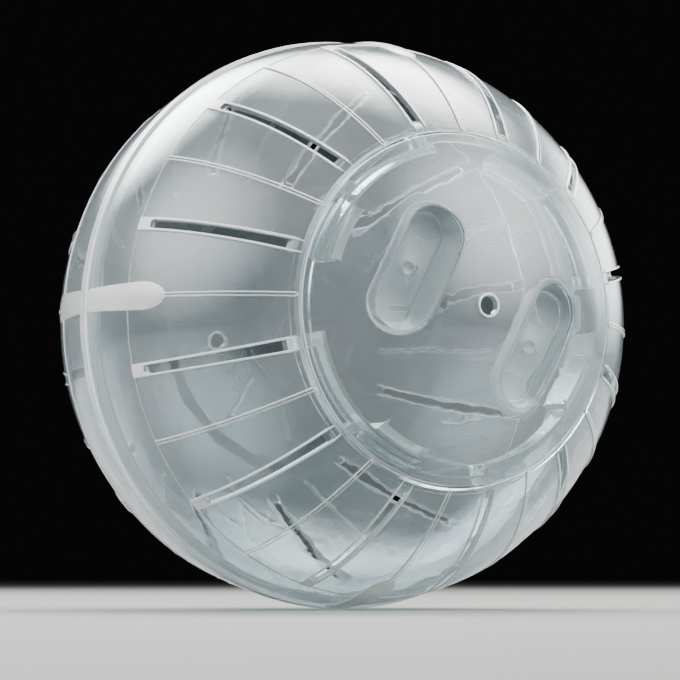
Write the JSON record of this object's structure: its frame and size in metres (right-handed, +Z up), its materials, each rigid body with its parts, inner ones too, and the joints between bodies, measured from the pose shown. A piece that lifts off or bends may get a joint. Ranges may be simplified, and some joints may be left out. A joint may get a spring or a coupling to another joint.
{
  "type": "hamster ball",
  "caption": "Translucent exercise ball for a hamster: two slotted half shells that pull apart at the equator and a round bayonet door with finger pockets.",
  "frame": {"origin": "centre of the ball, on its axis in the plane where the halves meet", "axes": "-Y along the ball's axis out through the door, +Z up, +X to the right as seen from the door side"},
  "size_m": [0.1212, 0.1208, 0.1212],
  "materials": {
    "shell_plastic": "translucent milky moulded polypropylene, glossy",
    "door_plastic": "translucent milky moulded polypropylene, glossy"
  },
  "bodies": {
    "rear_half": {"rear_half": "shell_plastic"},
    "front_half": {"front_half": "shell_plastic"},
    "door": {"door": "door_plastic"}
  },
  "joints": [
    {"name": "halves_apart", "type": "slide", "parent": "rear_half", "child": "front_half", "axis": [0, -1, 0], "range_m": [0, 0.08]},
    {"name": "door_twist", "type": "hinge", "parent": "front_half", "child": "door", "pos_m": [0, -0.05, 0], "axis": [0, -1, 0], "range_deg": [0, 25]}
  ]
}
